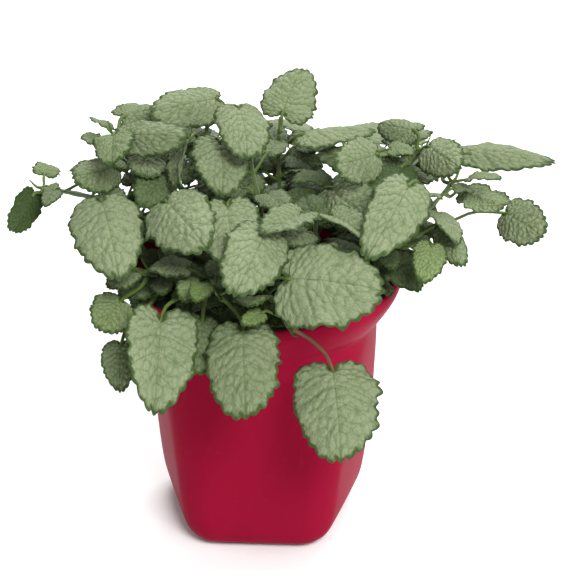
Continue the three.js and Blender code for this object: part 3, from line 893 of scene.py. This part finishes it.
def fill_pairs(name, seed, shares, lengths, allowed, tries, gap, shade):
    """Pairs of leaves up every stem, each pair square to the one below, where there is room."""
    draw = np.random.default_rng(seed)
    made = 0
    for stem_name, path in stem_paths.items():
        for step, share in enumerate(shares):
            foot = path[int(share * (len(path) - 1))]
            for half_turn in (0, 180):
                for _ in range(tries):
                    heading = 90 * step + half_turn + 37 * len(stem_name) + draw.uniform(-50, 50)
                    stalk_length, length = draw.uniform(6, 16), draw.uniform(*lengths)
                    rise, roll = draw.uniform(-26, 16), draw.uniform(-24, 24)
                    turn = math.radians(heading)
                    at = foot / MM + unit(np.array((math.cos(turn), math.sin(turn), 0.45))) * stalk_length
                    blade = small_blade(at, heading, rise, roll, length, length * draw.uniform(0.8, 0.98))
                    places = bent_blade(blade, *check_spots)
                    middle = places.mean(0)
                    if allowed(middle, places.min(0), places.max(0)) and clear_of_others(places, gap):
                        made += 1
                        make_leaf(
                            f"{name}_{made}", blade, (short_stalk(blade, foot), 0.0008), 10 * seed + made,
                            youth(middle, share, draw.uniform(0, 1)), shade, 1.2, small_pattern,
                        )
                        break


# The last number of each call is a painted shade: the leaves inside the plant's heart get the darkest green.
fill_pairs("small_leaf", 31, (0.62, 0.78, 0.9, 1.0), (11, 22), outside, 22, 0.0034, 0.05)
fill_pairs("inner_leaf", 23, (0.3, 0.42, 0.54, 0.66, 0.78, 0.9), (16, 27), in_heart, 14, 0.0042, 0.45)
fill_pairs("rim_leaf", 37, (0.12, 0.24, 0.36, 0.5, 0.64), (14, 24), over_rim, 45, 0.0034, 0.22)
fill_pairs("back_leaf", 29, (0.35, 0.5, 0.65, 0.8, 0.92, 1.0), (20, 34), at_back, 40, 0.0032, 0.15)

# Each stem ends in a bare growing tip, which carries on a little past its last leaves.
TIP_LENGTH = 0.008
TIP_RINGS = 12
EDGE_ROOM = 0.002                      # tips keep this far inside the plant's own box
for number, path in enumerate(stem_paths.values(), 1):
    ahead = unit(path[-1] - path[-3])
    route = [path[-1], path[-1] + ahead * TIP_LENGTH / 2, path[-1] + (ahead + (0, 0, 0.4)) * TIP_LENGTH]
    if (route[-1] > plant_low + EDGE_ROOM).all() and (route[-1] < plant_high - EDGE_ROOM).all():
        radii = np.linspace(0.8, 0.25, TIP_RINGS) * MM
        shoot = tube(f"shoot_end_{number}", smooth_path(np.array(route), TIP_RINGS), radii, square)
        shoot.data.materials.append(leaf_stalk)
        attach(shoot, "root")

for pattern in (full_pattern, small_pattern):
    bpy.data.objects.remove(pattern)

# ------------------------------------------------------------------------------------------
# The setting: a pale floor, soft studio lamps and the camera, a little above the plant.
# ------------------------------------------------------------------------------------------

bpy.ops.mesh.primitive_plane_add(size=12, location=(0, 0, 0))
floor = bpy.context.object
floor.name = "floor"
floor_paint, tree, shader = new_material("floor_paint")
shader.inputs["Base Color"].default_value = (0.9, 0.9, 0.9, 1)
shader.inputs["Roughness"].default_value = 0.8
floor.data.materials.append(floor_paint)

SKY_LIGHT = 0.44                       # how strongly the pale surroundings light the plant

world = bpy.data.worlds.new("studio")
bpy.context.scene.world = world
world.use_nodes = True
world.node_tree.nodes["Background"].inputs[0].default_value = (1, 1, 1, 1)
world.node_tree.nodes["Background"].inputs[1].default_value = SKY_LIGHT
seen = add_node(world.node_tree, "ShaderNodeBackground", {"Color": (1, 1, 1, 1), "Strength": 1.0})
rays = add_node(world.node_tree, "ShaderNodeLightPath")
either = add_node(world.node_tree, "ShaderNodeMixShader")
world.node_tree.links.new(rays.outputs["Is Camera Ray"], either.inputs[0])
world.node_tree.links.new(world.node_tree.nodes["Background"].outputs[0], either.inputs[1])
world.node_tree.links.new(seen.outputs[0], either.inputs[2])
world.node_tree.links.new(either.outputs[0], world.node_tree.nodes["World Output"].inputs[0])


def soft_lamp(name, place, aim, size, power):
    data = bpy.data.lights.new(name, "AREA")
    data.shape, data.size, data.energy = "DISK", size, power
    lamp = bpy.data.objects.new(name, data)
    bpy.context.scene.collection.objects.link(lamp)
    lamp.location = place
    lamp.rotation_euler = (Vector(aim) - Vector(place)).to_track_quat("-Z", "Y").to_euler()


soft_lamp("key_lamp", (0.38, -1.0, 1.25), (0, 0, 0.16), 0.6, 26)
soft_lamp("fill_lamp", (1.2, -0.8, 0.9), (0, 0, 0.15), 1.0, 5)
soft_lamp("floor_lamp", (0.2, 1.9, 1.9), (0.1, 1.3, 0), 2.2, 90)

camera_data = bpy.data.cameras.new("camera")
camera_data.lens, camera_data.sensor_width = 84, 36
camera = bpy.data.objects.new("camera", camera_data)
bpy.context.scene.collection.objects.link(camera)
bpy.context.scene.camera = camera
camera_place, camera_aim = Vector((0.008, -0.637, 0.476)), Vector((0.012, 0, 0.142))
camera_roll = math.radians(0.7)
ahead = (camera_aim - camera_place).normalized()
right = ahead.cross(Vector((0, 0, 1))).normalized()
above = right.cross(ahead)
tilted = right * math.cos(camera_roll) + above * math.sin(camera_roll)
upright = above * math.cos(camera_roll) - right * math.sin(camera_roll)
camera.matrix_world = Matrix((tilted, upright, -ahead)).transposed().to_4x4()
camera.location = camera_place
bpy.context.scene.view_settings.view_transform = "Standard"
